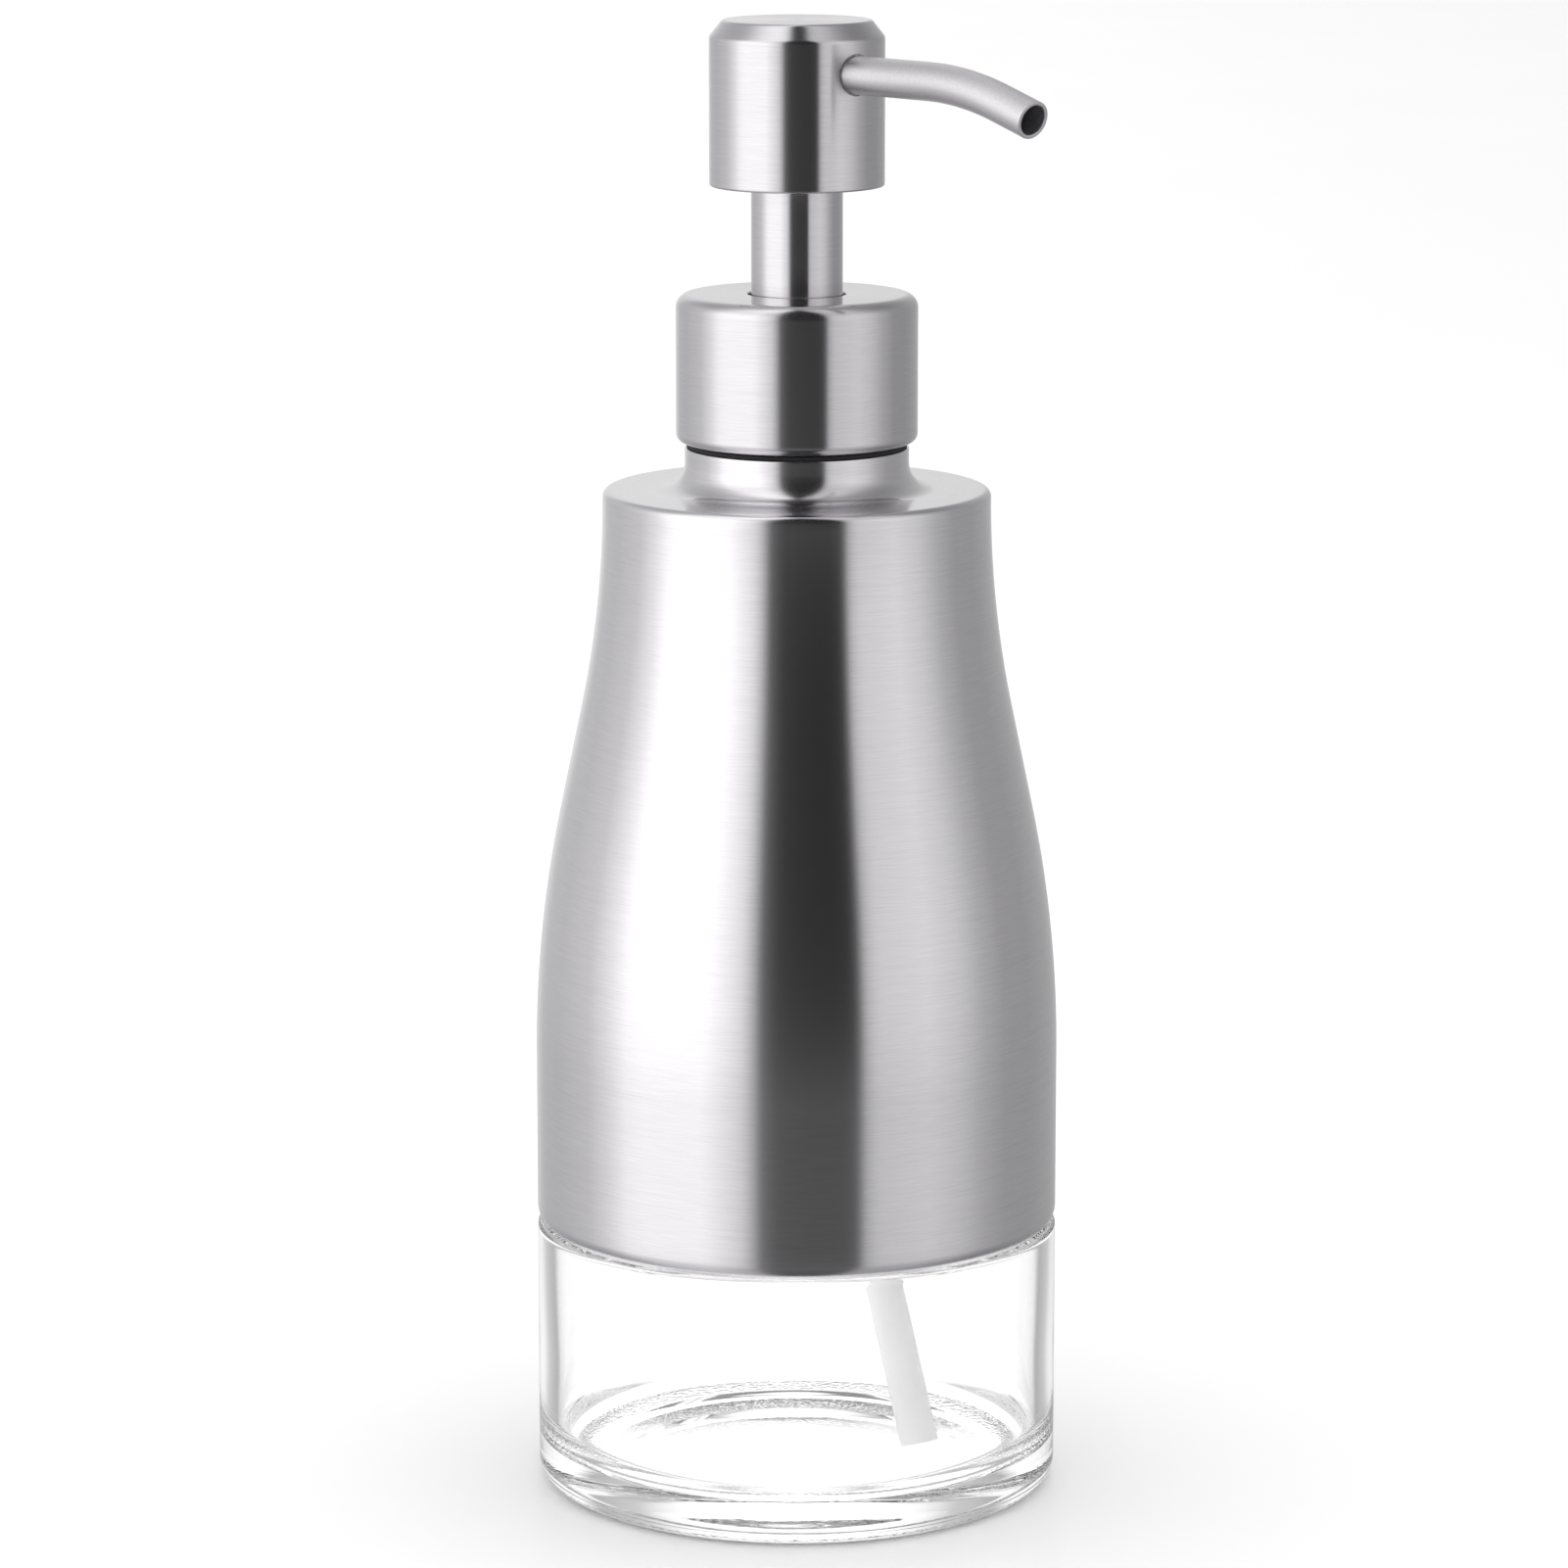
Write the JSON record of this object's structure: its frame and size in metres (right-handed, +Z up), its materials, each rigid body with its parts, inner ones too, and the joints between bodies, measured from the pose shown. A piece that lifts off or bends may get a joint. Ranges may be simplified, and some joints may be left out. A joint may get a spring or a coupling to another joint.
{
  "type": "soap pump dispenser",
  "caption": "Counter-top soap pump dispenser: clear glass bottle in a waisted brushed steel jacket, screw collar, sliding sleeve, cylindrical press head and thin down-bent spout.",
  "frame": {"origin": "centre of the glass base's bearing ring, on the table, on the bottle's axis", "axes": "+Z up along the bottle's and the pump's axis, +X towards the tip of the spout at rest, +Y to the left of someone looking along +X"},
  "size_m": [0.08, 0.07, 0.1972],
  "materials": {
    "clear_glass": "clear, moulded",
    "brushed_steel": "fine brushed lines around the axis",
    "spring_steel": "drawn wire",
    "polished_steel": "polished ball",
    "white_plastic": "moulded",
    "milky_plastic": "translucent, extruded",
    "clear_adhesive": "cured bead",
    "black_rubber": "moulded"
  },
  "bodies": {
    "bottle": {"glass_bottle": "clear_glass", "steel_jacket": "brushed_steel", "bond_bead_lower": "clear_adhesive", "bond_bead_upper": "clear_adhesive", "neck_seal_ring": "black_rubber"},
    "pump_body": {"pump_housing": "white_plastic", "housing_lock_ring": "white_plastic", "neck_gasket": "black_rubber", "dip_tube": "milky_plastic", "return_spring": "spring_steel"},
    "inlet_ball": {"inlet_ball": "polished_steel"},
    "closure": {"collar_shell": "brushed_steel", "closure_insert": "white_plastic"},
    "piston": {"piston": "white_plastic"},
    "head": {"stem": "white_plastic", "stem_valve_seat": "white_plastic", "stem_sleeve": "brushed_steel", "head_shell": "brushed_steel", "head_core": "white_plastic", "spout": "brushed_steel"}
  },
  "joints": [
    {"name": "closure_rise", "type": "slide", "parent": "bottle", "child": "pump_body", "axis": [0, 0, 1], "range_m": [0, 0.00635]},
    {"name": "closure_turn", "type": "hinge", "parent": "pump_body", "child": "closure", "pos_m": [0, 0, 0.15], "axis": [0, 0, 1], "range_deg": [0, 540]},
    {"name": "pump_press", "type": "slide", "parent": "pump_body", "child": "piston", "axis": [0, 0, 1], "range_m": [-0.0135, 0], "stiffness_N_per_m": 350, "springref_m": 0.012, "deforming": ["return_spring"]},
    {"name": "spout_swivel", "type": "hinge", "parent": "piston", "child": "head", "pos_m": [0, 0, 0.19], "axis": [0, 0, 1], "continuous": true},
    {"name": "inlet_ball_lift", "type": "slide", "parent": "pump_body", "child": "inlet_ball", "axis": [0, 0, 1], "range_m": [0, 0.0015]}
  ],
  "couplings": [
    {"joint": "closure_turn", "follows": "closure_rise", "rad_per_m": 1484.3}
  ]
}
